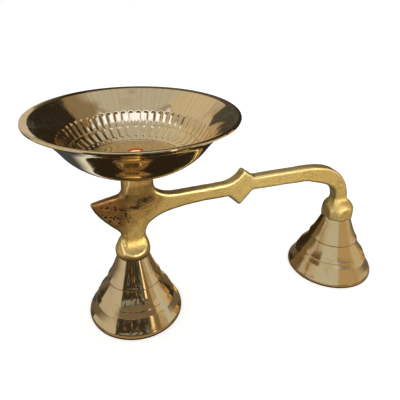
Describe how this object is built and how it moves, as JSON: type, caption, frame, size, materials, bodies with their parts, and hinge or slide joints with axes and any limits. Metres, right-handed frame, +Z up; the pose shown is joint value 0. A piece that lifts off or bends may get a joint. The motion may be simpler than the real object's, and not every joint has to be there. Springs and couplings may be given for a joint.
{
  "type": "brass incense burner with handle",
  "caption": "Footed brass incense burner: a fluted round bowl on a cast arm with a diamond-ornamented handle, standing on stepped bell feet.",
  "frame": {"origin": "on the floor, in the middle of the overall length and width", "axes": "+Z up, +X from the bowl along the handle to the rear foot; the object is symmetric about the XZ plane"},
  "size_m": [0.2048, 0.1016, 0.1173],
  "materials": {
    "polished_brass_bowl": "mirror polished, spun sheet, fine hairline scratches",
    "polished_brass_foot": "turned and polished",
    "cast_brass": "rough sand casting, satin, small dark pits and soot in the corners",
    "copper_screw": "copper coloured, polished dome",
    "brass_washer": "stamped, polished",
    "steel_screw": "zinc plated",
    "steel_washer": "zinc plated"
  },
  "bodies": {
    "arm": {"arm_casting": "cast_brass"},
    "bowl_set": {"bowl": "polished_brass_bowl", "bowl_washer": "brass_washer"},
    "bowl_fastener": {"bowl_screw": "copper_screw"},
    "front_foot_set": {"front_foot": "polished_brass_foot", "front_foot_washer": "steel_washer"},
    "front_foot_fastener": {"front_foot_screw": "steel_screw"},
    "rear_foot_set": {"rear_foot": "polished_brass_foot", "rear_foot_washer": "steel_washer"},
    "rear_foot_fastener": {"rear_foot_screw": "steel_screw"}
  },
  "joints": [
    {"name": "bowl_lift", "type": "slide", "parent": "arm", "child": "bowl_set", "axis": [0, 0, 1], "range_m": [0, 0.01]},
    {"name": "bowl_screw_turn", "type": "hinge", "parent": "bowl_set", "child": "bowl_fastener", "pos_m": [-0.0516, 0, 0.0937], "axis": [0, 0, 1], "range_deg": [0, 3600]},
    {"name": "front_foot_drop", "type": "slide", "parent": "arm", "child": "front_foot_set", "axis": [0, 0, -1], "range_m": [0, 0.008]},
    {"name": "front_foot_screw_turn", "type": "hinge", "parent": "front_foot_set", "child": "front_foot_fastener", "pos_m": [-0.0556, 0, 0.0338], "axis": [0, 0, -1], "range_deg": [0, 3600]},
    {"name": "rear_foot_drop", "type": "slide", "parent": "arm", "child": "rear_foot_set", "axis": [0, 0, -1], "range_m": [0, 0.008]},
    {"name": "rear_foot_screw_turn", "type": "hinge", "parent": "rear_foot_set", "child": "rear_foot_fastener", "pos_m": [0.076, 0, 0.0338], "axis": [0, 0, -1], "range_deg": [0, 3600]}
  ],
  "couplings": [
    {"joint": "bowl_screw_turn", "follows": "bowl_lift", "rad_per_m": 6283.2},
    {"joint": "front_foot_screw_turn", "follows": "front_foot_drop", "rad_per_m": 7854},
    {"joint": "rear_foot_screw_turn", "follows": "rear_foot_drop", "rad_per_m": 7854}
  ]
}
